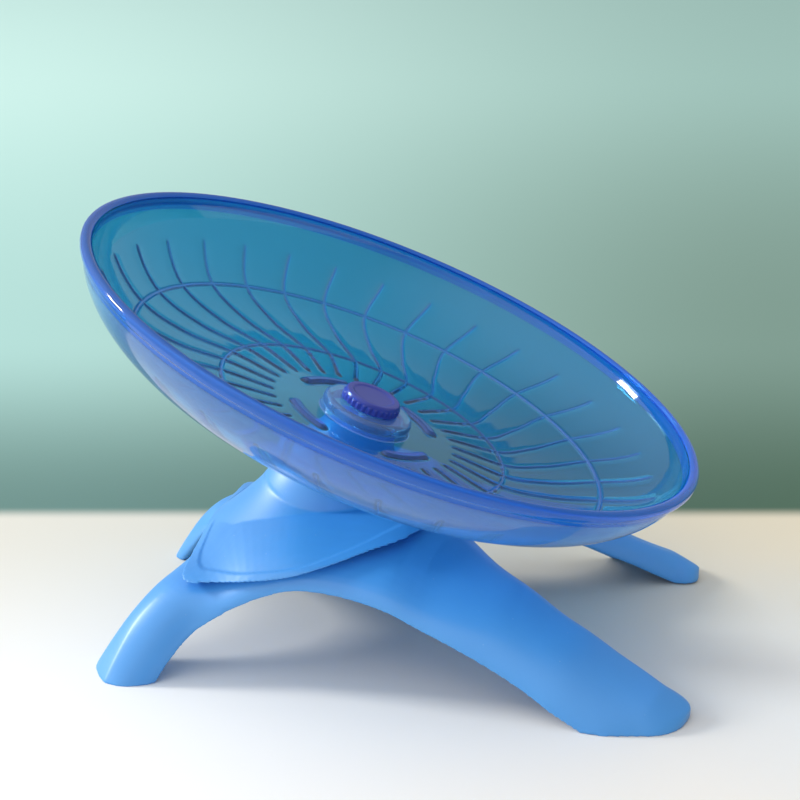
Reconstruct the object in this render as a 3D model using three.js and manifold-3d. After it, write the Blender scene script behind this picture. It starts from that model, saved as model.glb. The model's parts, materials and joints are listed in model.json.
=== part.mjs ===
// Flying saucer exercise wheel for a hamster, in millimetres, +Z up.
// A wide shallow dish turns on a small ball bearing at the top of a leaning column.
// The column and its cover are one moulding, screwed down on a hollow frame with four legs.
// +X points to the dish's low side, and the table is z = 0.

import * as THREE from 'three';
import { mergeVertices } from 'three/addons/utils/BufferGeometryUtils.js';
import Module from 'manifold-3d';

const wasm = await Module();
wasm.setup();

// Driving dimensions of the dish
const rimRadius = 90;
const rimRise = 46.5;
const tilt = THREE.MathUtils.degToRad(22.25);
const dishDepth = 25.4;
const dishWall = 2;
const floorShare = 0.4667;
const beadHeight = 3;
const beadProud = 1;
const beadRound = 1.2;
const wallPower = 1.95;

// Ridges that give the feet a grip
const ribCount = 32;
const ribWidth = 1.3;
const ribHeight = 0.7;
const ribStartShare = 0.3;
const ribEndShare = 0.9056;
const ribTaperShare = 0.5;
const ribPhase = THREE.MathUtils.degToRad(1.5);
const ringShare = 0.7667;
const petalCount = 4;
const petalShare = 0.2333;
const petalWidth = 4;
const petalHeight = 1;
const petalSpan = THREE.MathUtils.degToRad(36);
const petalPhase = THREE.MathUtils.degToRad(47.4);

// Hub of the dish and its cap
const hubHeight = 4.2;
const hubWall = 2.4;
const hubRound = 1.4;
const bearingSink = 3.3;
const cupWall = 1.4;
const lipWidth = 1.1;
const lipThickness = 1;
const capWall = 0.8;
const capPlate = 1;
const capRound = 0.8;
const knurlCount = 30;
const knurlDepth = 0.3;

// Ball bearing, 4 mm bore, 11 mm outside and 4 mm wide
const bearingBore = 2;
const bearingRadius = 5.5;
const bearingWidth = 4;
const ballCount = 7;
const ballRadius = 0.8;
const ballPlay = 0.1;
const raceWall = 0.8;
const raceLand = 0.3;
const cageWidth = 0.75;
const cageRing = 0.4;
const shieldThickness = 0.3;
const shieldRecess = 0.15;
const shieldClearance = 0.2;

// Screw that is the axle, and the screws that hold the cover
const axleHeadRadius = 3.4;
const axleHeadHeight = 1;
const axleLength = 18.5;
const axleClearance = 0.12;
const screwRadius = 1.5;
const screwHeadRadius = 2.8;
const screwHeadHeight = 2;
const screwLength = 10;
const screwClearance = 0.25;
const screwCircle = 14;
const screwCount = 4;
const screwBossWall = 1.9;
const screwBossDrop = 6;
const screwPocket = 3;

// Column and cover
const columnTop = 10;
const columnBase = 19.4;
const columnPlug = 13.5;
const columnWall = 2.4;
const columnRoot = 14;
const flareSlack = 2;
const flareTopShare = 0.42;
const flareFootShare = 0.5;
const seatHeight = 0.6;
const skirtShift = 3.5;
const skirtTop = 15.6;
const skirtTopRise = 5.8;
const skirtBend = 16.3;
const skirtBendRise = 3.5;
const skirtFoot = 33.9;
const skirtFootDrop = 10.3;
const coverWall = 2.3;

// Leg frame: its waist is where the two front legs' arch is highest
const waistX = -17.6;
const leftReach = 60;
const rightReach = 103;
const halfTrack = 62.3;
const deckHeight = 38;
const frameWall = 2.2;
const noseLength = 8.9;
const noseTurn = THREE.MathUtils.degToRad(18);
const noseDrop = 4.9;
const noseEndShare = 0.95;
const nosePower = 2.6;
const archPower = 2.2;
const ribPlate = 1.6;

// Clearances
const seatGap = 0.3;
const runningGap = 0.6;
const overrun = 6;

// Facets
const dishFacets = 40;
const wallSteps = 5;
const rimSteps = 3;
const hubFacets = 24;
const smallFacets = 16;
const ballFacets = 6;
const grooveSteps = 3;
const legSteps = 18;
const archSteps = 4;
const noseSteps = 4;
const flareSteps = 5;

// Materials
const dishPlastic = new THREE.MeshStandardMaterial({
  color: 0x2f7fd6, roughness: 0.12, metalness: 0, transparent: true, opacity: 0.5,
});
const capPlastic = new THREE.MeshStandardMaterial({ color: 0x1c2f8c, roughness: 0.15, metalness: 0 });
const basePlastic = new THREE.MeshStandardMaterial({ color: 0x3d8fe6, roughness: 0.35, metalness: 0 });
const steel = new THREE.MeshStandardMaterial({ color: 0xb9bcc2, roughness: 0.25, metalness: 1 });
const cagePlastic = new THREE.MeshStandardMaterial({ color: 0xd8cfae, roughness: 0.5, metalness: 0 });

const point = (x, y, z) => new THREE.Vector3(x, y, z);

// Turns a closed geometry into a solid that can be joined and cut.
function solid(geometry) {
  const bare = geometry.clone();
  bare.deleteAttribute('normal');
  bare.deleteAttribute('uv');
  const merged = mergeVertices(bare);
  const corners = merged.index.array;
  const kept = [];
  for (let i = 0; i < corners.length; i += 3) {
    const [a, b, c] = corners.slice(i, i + 3);
    if (a !== b && b !== c && c !== a) kept.push(a, b, c);
  }
  return new wasm.Manifold(new wasm.Mesh({
    numProp: 3,
    vertProperties: new Float32Array(merged.attributes.position.array),
    triVerts: new Uint32Array(kept),
  }));
}

// Turns a finished solid back into a geometry.
function geometryOf(body) {
  const mesh = body.getMesh();
  const geometry = new THREE.BufferGeometry();
  geometry.setAttribute('position', new THREE.BufferAttribute(mesh.vertProperties, mesh.numProp));
  geometry.setIndex(new THREE.BufferAttribute(mesh.triVerts, 1));
  geometry.computeVertexNormals();
  return geometry;
}

function piece(name, material, body) {
  const mesh = new THREE.Mesh(geometryOf(body), material);
  mesh.name = name;
  return mesh;
}

// Revolves a profile of [radius, height] pairs round Z. The profile runs anticlockwise.
function revolve(profile, facets) {
  const points = profile.map(([r, z]) => new THREE.Vector2(r, z));
  const onAxis = points[0].x === 0 && points[points.length - 1].x === 0;
  if (!onAxis) points.push(points[0].clone());
  return new THREE.LatheGeometry(points, facets).rotateX(Math.PI / 2);
}

const ring = (inner, outer, low, high, facets) => solid(
  revolve([[inner, low], [outer, low], [outer, high], [inner, high]], facets));

const disc = (radius, low, high, facets) => solid(
  revolve([[0, low], [radius, low], [radius, high], [0, high]], facets));

// Joins sections with equal numbers of points into one closed geometry.
function loft(sections) {
  const count = sections[0].length;
  const positions = sections.flat().flatMap((p) => [p.x, p.y, p.z]);
  const faces = [];
  for (let s = 0; s < sections.length - 1; s += 1) {
    for (let i = 0; i < count; i += 1) {
      const a = s * count + i;
      const b = s * count + ((i + 1) % count);
      faces.push(a, b, b + count, a, b + count, a + count);
    }
  }
  const last = (sections.length - 1) * count;
  for (let i = 1; i < count - 1; i += 1) {
    faces.push(0, i + 1, i);
    faces.push(last, last + i, last + i + 1);
  }
  const geometry = new THREE.BufferGeometry();
  geometry.setAttribute('position', new THREE.Float32BufferAttribute(positions, 3));
  geometry.setIndex(faces);
  return geometry;
}

// The dish's radii follow its rim, and the rim's middle stands over the deck.
const rimHeight = deckHeight + rimRise;
const floorRadius = floorShare * rimRadius;
const ribStart = ribStartShare * rimRadius;
const ribEnd = ribEndShare * rimRadius;
const ringRadius = ringShare * rimRadius;
const petalRadius = petalShare * rimRadius;

// Running surface of the dish: flat floor, then a wall that curls up to the rim.
const rimInside = rimRadius - beadProud - dishWall;

function wallProfile(reach, depth) {
  const points = [];
  for (let i = 0; i <= wallSteps; i += 1) {
    const angle = (Math.PI * i) / (2 * wallSteps);
    const across = Math.sin(angle) ** (2 / wallPower);
    const down = Math.cos(angle) ** (2 / wallPower);
    points.push([floorRadius + (reach - floorRadius) * across, -depth * down]);
  }
  return points;
}
const surface = [[0, -dishDepth], ...wallProfile(rimInside, dishDepth)];

function surfaceHeight(radius) {
  const next = surface.findIndex(([r]) => r > radius);
  const [inner, outer] = [surface[next - 1], surface[next]];
  return THREE.MathUtils.mapLinear(radius, inner[0], outer[0], inner[1], outer[1]);
}

// Heights along the spin axis, from the rim plane at zero
const hubTop = hubHeight - dishDepth;
const bearingLow = hubTop - bearingSink;
const bearingHigh = bearingLow + bearingWidth;
const lipLow = bearingHigh + seatGap;
const cupTop = lipLow + lipThickness;
const capInside = cupTop + seatGap;
const capTop = capInside + capPlate;
const cupInner = bearingRadius + ballPlay;
const cupOuter = cupInner + cupWall;
const lipInner = cupInner - lipWidth;
const hubInside = columnTop + runningGap;
const hubRadius = hubInside + hubWall;
const seatTop = bearingLow - seatGap;
const shoulder = seatTop - seatHeight;

function runningDish() {
  const ringBump = (radius) => [
    [radius - ribWidth / 2, surfaceHeight(radius - ribWidth / 2)],
    [radius, surfaceHeight(radius) + ribHeight],
    [radius + ribWidth / 2, surfaceHeight(radius + ribWidth / 2)],
  ];
  const inner = surface.filter(([r]) => r > floorRadius && r < rimInside
    && Math.abs(r - ringRadius) > ribWidth);
  const outer = wallProfile(rimInside + dishWall, dishDepth + dishWall).reverse()
    .filter(([, z]) => z < -beadHeight);
  const wallAtBead = rimInside + dishWall;
  const top = [];
  const topHalf = (rimRadius - rimInside) / 2;
  for (let i = 0; i <= rimSteps; i += 1) {
    const angle = Math.PI - (Math.PI * i) / rimSteps;
    top.push([rimInside + topHalf + topHalf * Math.cos(angle), beadRound * (Math.sin(angle) - 1)]);
  }
  const beadFoot = [rimRadius - beadProud / 2, -beadHeight];
  const profile = [
    [cupInner, bearingLow], [cupInner, lipLow], [lipInner, lipLow], [lipInner, cupTop],
    [cupOuter, cupTop], [cupOuter, hubTop],
    [hubRadius - hubRound, hubTop], [hubRadius, hubTop - hubRound], [hubRadius, -dishDepth],
    ...ringBump(floorRadius),
    ...inner.filter(([r]) => r < ringRadius), ...ringBump(ringRadius),
    ...inner.filter(([r]) => r > ringRadius),
    ...top,
    [rimRadius, beadFoot[1] + beadRound], beadFoot, [wallAtBead - beadProud / 2, -beadHeight - beadProud],
    ...outer,
    [hubInside, -dishDepth - dishWall], [hubInside, bearingLow],
  ].reverse();
  let dish = solid(revolve(profile, dishFacets));
  for (const rib of ribs()) dish = dish.add(rib);
  for (const petal of petals()) dish = dish.add(petal);
  return dish;
}

// One ridge swings as it runs outwards: each row is a share of its length and of the pitch.
const ribPathShares = [[0, -0.69], [0.25, -0.82], [0.5, -0.3], [0.75, 0], [1, -0.22]];

function ribs() {
  const pitch = (2 * Math.PI) / ribCount;
  const path = new THREE.CatmullRomCurve3(ribPathShares.map(([along, turn]) => point(
    ribStart + along * (ribEnd - ribStart), turn * pitch, 0)));
  const corners = surface.map(([r]) => r).filter((r) => r > floorRadius && r < ribEnd);
  const radii = [ribStart, floorRadius, ...corners, ribEnd];
  const list = [];
  for (let k = 0; k < ribCount; k += 1) {
    const sections = [];
    for (const radius of radii) {
      const turn = path.getPoint((radius - ribStart) / (ribEnd - ribStart)).y;
      const angle = turn + k * pitch + ribPhase;
      const taper = radius === ribStart || radius === ribEnd ? ribTaperShare : 1;
      const half = (ribWidth / 2) * taper;
      const centre = point(radius * Math.cos(angle), radius * Math.sin(angle), surfaceHeight(radius));
      const side = point(-Math.sin(angle), Math.cos(angle), 0).multiplyScalar(half);
      const low = centre.clone().add(point(0, 0, -ribHeight / 2));
      sections.push([
        low.clone().sub(side), low.clone().add(side),
        centre.clone().add(point(0, 0, ribHeight * taper)),
      ]);
    }
    list.push(solid(loft(sections)));
  }
  return list;
}

// Four raised arcs on the floor round the hub
function petals() {
  const half = petalSpan / 2;
  const round = petalWidth / 2;
  const shape = new THREE.Shape();
  shape.absarc(0, 0, petalRadius + round, -half, half, false);
  const end = [petalRadius * Math.cos(half), petalRadius * Math.sin(half)];
  shape.absarc(end[0], end[1], round, half, half + Math.PI, false);
  shape.absarc(0, 0, petalRadius - round, half, -half, true);
  shape.absarc(end[0], -end[1], round, Math.PI - half, 2 * Math.PI - half, false);
  const options = { depth: petalHeight + dishWall / 2, bevelEnabled: false, curveSegments: 5 };
  const list = [];
  for (let k = 0; k < petalCount; k += 1) {
    const petal = new THREE.ExtrudeGeometry(shape, options);
    petal.rotateZ(petalPhase + (k * 2 * Math.PI) / petalCount);
    petal.translate(0, 0, -dishDepth - dishWall / 2);
    list.push(solid(petal));
  }
  return list;
}

// Press-on cap with a finely ridged skirt
function hubCap() {
  const skirtInner = cupOuter + seatGap;
  const skirtOuter = skirtInner + capWall;
  const low = hubTop + seatGap;
  const outline = new THREE.Shape();
  for (let i = 0; i < knurlCount * 2; i += 1) {
    const angle = (i * Math.PI) / knurlCount;
    const radius = skirtOuter + (i % 2 ? knurlDepth : 0);
    const corner = [radius * Math.cos(angle), radius * Math.sin(angle)];
    if (i === 0) outline.moveTo(...corner);
    else outline.lineTo(...corner);
  }
  const skirt = solid(new THREE.ExtrudeGeometry(outline, { depth: capTop - low, bevelEnabled: false })
    .translate(0, 0, low));
  const reach = skirtOuter + knurlDepth;
  const form = solid(revolve([
    [0, low], [reach, low], [reach, capTop - 2 * capRound],
    [skirtOuter - capRound / 2, capTop - capRound], [skirtOuter - 2 * capRound, capTop], [0, capTop],
  ], knurlCount));
  return skirt.intersect(form).subtract(disc(skirtInner, low - overrun, capInside, hubFacets));
}

// Ball bearing: two grooved rings, a crown cage, balls and two shields
const ballCircle = (bearingBore + bearingRadius) / 2;
const bearingMiddle = (bearingLow + bearingHigh) / 2;
const grooveRadius = ballRadius + ballPlay;
const innerLand = ballCircle - grooveRadius + raceLand;
const outerLand = ballCircle + grooveRadius - raceLand;

function grooveProfile(side) {
  const points = [];
  const land = side > 0 ? outerLand : innerLand;
  const half = Math.acos(Math.abs(land - ballCircle) / grooveRadius);
  for (let i = 0; i <= grooveSteps; i += 1) {
    const angle = -half + (2 * half * i) / grooveSteps;
    points.push([
      ballCircle + side * grooveRadius * Math.cos(angle),
      bearingMiddle + grooveRadius * Math.sin(angle),
    ]);
  }
  return points;
}

function innerRing() {
  return solid(revolve([
    [bearingBore, bearingLow], [innerLand, bearingLow],
    ...grooveProfile(-1),
    [innerLand, bearingHigh], [bearingBore, bearingHigh],
  ], smallFacets));
}

const shieldSeat = bearingRadius - raceWall / 2 - ballPlay;

function outerRing() {
  const step = shieldRecess + shieldThickness + shieldRecess;
  return solid(revolve([
    [shieldSeat, bearingLow], [bearingRadius, bearingLow],
    [bearingRadius, bearingHigh], [shieldSeat, bearingHigh],
    [shieldSeat, bearingHigh - step], [outerLand, bearingHigh - step],
    ...grooveProfile(1).reverse(),
    [outerLand, bearingLow + step], [shieldSeat, bearingLow + step],
  ], smallFacets));
}

function shield(side) {
  const face = side > 0 ? bearingHigh - shieldRecess : bearingLow + shieldRecess;
  const back = face - side * shieldThickness;
  return ring(innerLand + shieldClearance, shieldSeat - ballPlay,
    Math.min(face, back), Math.max(face, back), smallFacets);
}

const ballPlaces = [];
for (let i = 0; i < ballCount; i += 1) {
  const angle = (i * 2 * Math.PI) / ballCount;
  ballPlaces.push(point(ballCircle * Math.cos(angle), ballCircle * Math.sin(angle), bearingMiddle));
}

const sphereAt = (radius, place) => solid(
  new THREE.SphereGeometry(radius, ballFacets, ballFacets - 2).translate(place.x, place.y, place.z));

function ballCage() {
  let cage = ring(ballCircle - cageWidth / 2, ballCircle + cageWidth / 2,
    bearingMiddle - cageRing, bearingMiddle + grooveRadius + cageRing, ballCount * 4);
  for (const place of ballPlaces) cage = cage.subtract(sphereAt(grooveRadius, place));
  return cage;
}

// Axle screw: its head holds the inner ring down on the column's seat
function axleScrew() {
  const headLow = bearingHigh + seatGap;
  const shank = bearingBore - axleClearance;
  return solid(revolve([
    [0, headLow - axleLength], [shank / 2, headLow - axleLength], [shank, headLow - axleLength + shank],
    [shank, headLow], [axleHeadRadius, headLow], [axleHeadRadius, headLow + axleHeadHeight / 2],
    [axleHeadRadius - axleHeadHeight / 2, headLow + axleHeadHeight], [0, headLow + axleHeadHeight],
  ], smallFacets));
}

// Half of the leg frame, from the left foot over the waist to the right foot.
// Each row gives the outer edge, the ridge and the inner edge as shares:
// x of the reach on its side of the waist, y of the half track, z of the deck height.
const stationShares = [
  [[-0.839, -1.016, -0.567], [-0.948, -0.911, -0.227], [-1.098, -0.713, -0.511]],
  [[-0.78, -0.945, -0.393], [-0.915, -0.865, -0.095], [-1.066, -0.665, -0.34]],
  [[-0.717, -0.858, -0.198], [-0.862, -0.792, 0.121], [-1.004, -0.616, -0.155]],
  [[-0.63, -0.772, 0.085], [-0.767, -0.685, 0.41], [-0.881, -0.54, 0.113]],
  [[-0.514, -0.701, 0.316], [-0.651, -0.604, 0.59], [-0.775, -0.431, 0.342]],
  [[-0.381, -0.694, 0.471], [-0.531, -0.455, 0.672], [-0.659, -0.223, 0.528]],
  [[-0.247, -0.687, 0.584], [-0.385, -0.181, 0.868], [-0.56, 0.048, 0.606]],
  [[-0.077, -0.679, 0.671], [-0.166, 0, 0.987], [-0.333, 0.134, 0.62]],
  [[0.062, -0.689, 0.672], [0.058, 0, 1], [0.033, 0.113, 0.644]],
  [[0.208, -0.74, 0.609], [0.238, 0, 0.988], [0.222, 0.085, 0.721]],
  [[0.295, -0.768, 0.515], [0.334, -0.166, 0.871], [0.342, -0.001, 0.699]],
  [[0.384, -0.807, 0.43], [0.451, -0.415, 0.764], [0.473, -0.242, 0.582]],
  [[0.475, -0.847, 0.331], [0.547, -0.522, 0.692], [0.582, -0.409, 0.487]],
  [[0.568, -0.895, 0.215], [0.637, -0.592, 0.577], [0.668, -0.504, 0.374]],
  [[0.646, -0.94, 0.097], [0.723, -0.628, 0.478], [0.736, -0.557, 0.275]],
  [[0.719, -0.97, -0.002], [0.806, -0.663, 0.36], [0.802, -0.605, 0.179]],
  [[0.784, -0.99, -0.094], [0.873, -0.7, 0.272], [0.858, -0.635, 0.096]],
  [[0.858, -0.972, -0.092], [0.924, -0.747, 0.202], [0.921, -0.661, 0.011]],
];

function guide(column) {
  return new THREE.CatmullRomCurve3(stationShares.map((row) => {
    const [x, y, z] = row[column];
    return point(waistX + x * (x < 0 ? leftReach : rightReach), y * halfTrack, z * deckHeight);
  }));
}
const guides = [guide(0), guide(1), guide(2)];

// The section at one station is an arch whose sides and crown stand out by grow.
function archSection(outer, ridge, inner, grow, drop, side) {
  const across = inner.clone().sub(outer).setZ(0).normalize().multiplyScalar(grow);
  const left = outer.clone().sub(across);
  const right = inner.clone().add(across);
  const crown = ridge.clone().setZ(ridge.z + grow);
  const points = [];
  if (drop > 0) points.push(left.clone().setZ(left.z - drop));
  for (let i = 0; i <= 2 * archSteps; i += 1) {
    const angle = (i * Math.PI) / (2 * archSteps);
    const foot = i <= archSteps ? left : right;
    const out = Math.abs(Math.cos(angle)) ** (2 / archPower);
    const up = Math.sin(angle) ** (2 / archPower);
    points.push(point(
      crown.x + (foot.x - crown.x) * out,
      crown.y + (foot.y - crown.y) * out,
      foot.z + (crown.z - foot.z) * up,
    ));
  }
  if (drop > 0) points.push(right.clone().setZ(right.z - drop));
  for (const p of points) p.y *= side;
  return side > 0 ? points.reverse() : points;
}

function halfFrame(grow, drop, side) {
  const sections = [];
  for (let i = 0; i <= legSteps; i += 1) {
    const [outer, ridge, inner] = guides.map((g) => g.getPoint(i / legSteps));
    sections.push(archSection(outer, ridge, inner, grow, drop, side));
  }
  const [outer, ridge, inner] = guides.map((g) => g.getPoint(1));
  const chord = inner.clone().sub(outer).setZ(0);
  const middle = outer.clone().lerp(inner, 0.5);
  const ahead = point(chord.y, -chord.x, 0).normalize().applyAxisAngle(point(0, 0, 1), noseTurn);
  const lastTurn = noseEndShare * (Math.PI / 2);
  for (let i = 1; i <= noseSteps; i += 1) {
    const turn = (i / noseSteps) * lastTurn;
    const reach = Math.sin(turn);
    const width = (1 - reach ** nosePower) ** (1 / nosePower);
    const shift = ahead.clone().multiplyScalar((noseLength + grow) * reach);
    const narrow = (p) => middle.clone().lerp(p, width).setZ(p.z).add(shift);
    const crown = narrow(ridge).setZ(ridge.z - noseDrop * reach);
    sections.push(archSection(narrow(outer), crown, narrow(inner), grow * width, drop, side));
  }
  return solid(loft(sections));
}

const frameForm = (grow, drop) => halfFrame(grow, drop, 1).add(halfFrame(grow, drop, -1));

const ground = solid(new THREE.BoxGeometry(4 * rimRadius, 4 * rimRadius, 4 * overrun)
  .translate(0, 0, -2 * overrun));

// Foot of the spin axis on the deck: the cover screws stand round it
const axisFootX = -(rimHeight - deckHeight) * Math.tan(tilt);
const screwPlaces = [];
for (let i = 0; i < screwCount; i += 1) {
  const angle = ((i + 0.5) * 2 * Math.PI) / screwCount;
  screwPlaces.push(point(axisFootX + screwCircle * Math.cos(angle), screwCircle * Math.sin(angle), 0));
}
const screwSeat = deckHeight - frameWall - screwBossDrop + screwPocket;

function discAt(place, radius, low, high) {
  return solid(revolve([[0, low], [radius, low], [radius, high], [0, high]], smallFacets)
    .translate(place.x, place.y, 0));
}

const legRibShares = [0.12, 0.2, 0.78, 0.86, 0.94];

function legFrame() {
  let inside = solid(new THREE.BoxGeometry(ribPlate, halfTrack, deckHeight)
    .translate(axisFootX, 0, deckHeight));
  for (const place of screwPlaces) {
    inside = inside.add(discAt(place, screwHeadRadius + screwClearance + screwBossWall,
      deckHeight - frameWall - screwBossDrop, deckHeight + overrun));
  }
  for (const share of legRibShares) inside = inside.add(legRib(share, 1)).add(legRib(share, -1));
  let frame = frameForm(0, 0).subtract(frameForm(-frameWall, overrun));
  frame = frame.add(inside.intersect(frameForm(-frameWall / 2, 0)));
  for (const place of screwPlaces) {
    frame = frame.subtract(discAt(place, screwRadius + screwClearance, 0, deckHeight + overrun));
    frame = frame.subtract(discAt(place, screwHeadRadius + screwClearance, 0, screwSeat));
  }
  return frame.subtract(ground);
}

// A thin plate across the inside of a leg, which keeps the leg's walls from spreading
function legRib(share, side) {
  const [outer, ridge, inner] = guides.map((g) => g.getPoint(share));
  const chord = inner.clone().sub(outer).setZ(0);
  const middle = outer.clone().add(inner).multiplyScalar(0.5);
  const height = ridge.z - middle.z;
  const turn = Math.atan2(chord.y, chord.x) - Math.PI / 2;
  return solid(new THREE.BoxGeometry(ribPlate, chord.length(), height)
    .rotateZ(side * turn)
    .translate(middle.x, side * middle.y, ridge.z));
}

const headPlace = new THREE.Matrix4().makeTranslation(0, 0, rimHeight)
  .multiply(new THREE.Matrix4().makeRotationY(tilt));

// Lower edge of the cover seen from the side: shares of the reach and of the deck height
const coverShares = [
  [-0.600, 1.600], [-0.600, 0.726], [-0.588, 0.684], [-0.560, 0.666], [-0.475, 0.674],
  [-0.372, 0.695], [-0.268, 0.729], [-0.083, 0.787], [0.060, 0.874], [0.166, 0.955],
  [0.258, 0.992], [0.317, 1.008], [0.375, 1.039], [0.375, 1.600],
];

function coverPrism() {
  const outline = new THREE.Shape(coverShares.map(([x, z]) => new THREE.Vector2(
    waistX + x * (x < 0 ? leftReach : rightReach), z * deckHeight)));
  const prism = new THREE.ExtrudeGeometry(outline, { depth: 2 * halfTrack, bevelEnabled: false });
  return solid(prism.translate(0, 0, -halfTrack).rotateX(Math.PI / 2));
}

// Upright cone under the column, which slopes down between the left legs
const skirtTopHeight = deckHeight + skirtTopRise;
const skirtBendHeight = deckHeight + skirtBendRise;
const skirtFootHeight = deckHeight - skirtFootDrop;

function skirt(wall) {
  const curve = new THREE.QuadraticBezierCurve(
    new THREE.Vector2(skirtTop - wall, skirtTopHeight - wall),
    new THREE.Vector2(skirtBend - wall, skirtBendHeight - wall),
    new THREE.Vector2(skirtFoot - wall, skirtFootHeight - wall),
  ).getPoints(flareSteps).map((p) => [p.x, p.y]).reverse();
  const low = wall > 0 ? 0 : skirtFootHeight;
  return solid(revolve([[0, low], [curve[0][0], low], ...curve, [0, skirtTopHeight - wall]], hubFacets)
    .translate(axisFootX - skirtShift, 0, 0));
}

// The column's foot is as far down the spin axis as the deck.
const columnLow = -rimRise / Math.cos(tilt);
const columnLength = shoulder - columnLow;

function columnForm() {
  const flare = new THREE.CubicBezierCurve(
    new THREE.Vector2(columnTop, shoulder - runningGap),
    new THREE.Vector2(columnTop, shoulder - columnLength * flareTopShare),
    new THREE.Vector2(columnBase - flareSlack, shoulder - columnLength * flareFootShare),
    new THREE.Vector2(columnBase, columnLow),
  ).getPoints(flareSteps).map((p) => [p.x, p.y]).reverse();
  return solid(revolve([
    [0, columnLow - columnRoot], [columnBase, columnLow - columnRoot], ...flare, [columnTop, shoulder],
    [innerLand, shoulder], [innerLand, seatTop], [0, seatTop],
  ], hubFacets).applyMatrix4(headPlace));
}

function columnHollow() {
  const low = columnLow - columnRoot - overrun;
  const radius = columnBase - columnWall;
  return solid(revolve([
    [0, low], [radius, low], [radius, columnLow],
    [columnTop - columnWall, shoulder - columnPlug], [0, shoulder - columnPlug],
  ], hubFacets).applyMatrix4(headPlace));
}

function axleBore() {
  const low = columnLow - columnRoot;
  return solid(revolve([
    [0, low], [bearingBore, low], [bearingBore, seatTop + overrun], [0, seatTop + overrun],
  ], smallFacets).applyMatrix4(headPlace));
}

// Screw bosses inside the column, and two plates that tie them to its wall
function screwBosses() {
  const height = screwBossTop - deckHeight + overrun;
  let bosses = null;
  for (const place of screwPlaces) {
    const boss = discAt(place, screwRadius + screwBossWall, deckHeight - overrun, screwBossTop);
    const turn = Math.atan2(place.y, place.x - axisFootX);
    const plate = solid(new THREE.BoxGeometry(columnBase, ribPlate, height)
      .translate(columnBase / 2, 0, screwBossTop - height / 2)
      .rotateZ(turn).translate(axisFootX, 0, 0));
    bosses = bosses ? bosses.add(boss).add(plate) : boss.add(plate);
  }
  return bosses;
}

function topCover() {
  const outside = frameForm(seatGap + coverWall, 0).add(skirt(0)).add(columnForm());
  const inside = frameForm(seatGap, overrun).add(skirt(coverWall)).add(columnHollow());
  let cover = outside.subtract(inside).add(screwBosses().intersect(outside));
  for (const place of screwPlaces) {
    cover = cover.subtract(discAt(place, screwRadius + screwClearance, 0, screwBossTop - ribPlate));
  }
  return cover.subtract(axleBore()).subtract(frameForm(seatGap, overrun)).intersect(coverPrism());
}

const screwBossTop = screwSeat + screwLength + ribPlate + seatGap;

// Screws that hold the cover, driven from below
function coverScrew(place) {
  const tip = screwSeat + screwLength;
  const headLow = screwSeat - seatGap - screwHeadHeight;
  return solid(revolve([
    [0, headLow], [screwHeadRadius - screwHeadHeight / 3, headLow],
    [screwHeadRadius, headLow + screwHeadHeight / 3], [screwHeadRadius, screwSeat - seatGap],
    [screwRadius, screwSeat - seatGap], [screwRadius, tip - screwRadius], [0, tip],
  ], smallFacets).translate(place.x, place.y, 0));
}

const wheel = new THREE.Group();

const head = new THREE.Group();
head.position.z = rimHeight;
head.rotation.y = tilt;
head.add(piece('running_dish', dishPlastic, runningDish()));
head.add(piece('hub_cap', capPlastic, hubCap()));
head.add(piece('bearing_outer_ring', steel, outerRing()));
head.add(piece('bearing_inner_ring', steel, innerRing()));
head.add(piece('bearing_shield_top', steel, shield(1)));
head.add(piece('bearing_shield_bottom', steel, shield(-1)));
head.add(piece('bearing_cage', cagePlastic, ballCage()));
ballPlaces.forEach((place, i) => {
  head.add(piece(`bearing_ball_${i + 1}`, steel, sphereAt(ballRadius, place)));
});
head.add(piece('axle_screw', steel, axleScrew()));
wheel.add(head);

wheel.add(piece('top_cover', basePlastic, topCover()));
wheel.add(piece('leg_frame', basePlastic, legFrame()));
screwPlaces.forEach((place, i) => {
  wheel.add(piece(`cover_screw_${i + 1}`, steel, coverScrew(place)));
});

// The origin is on the table, under the middle of the whole object.
wheel.updateMatrixWorld(true);
const bounds = new THREE.Box3().setFromObject(wheel, true);
wheel.position.x = -(bounds.min.x + bounds.max.x) / 2;

export default wheel;
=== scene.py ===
# Flying saucer exercise wheel for a hamster, dressed for the photograph.
# A clear blue dish turns on a ball bearing over an opaque blue column and four legs.
# Sizes are written in millimetres and go into the meshes in metres.
import json
import math

import bmesh
import bpy
import numpy as np
from mathutils import Matrix, Vector


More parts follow.
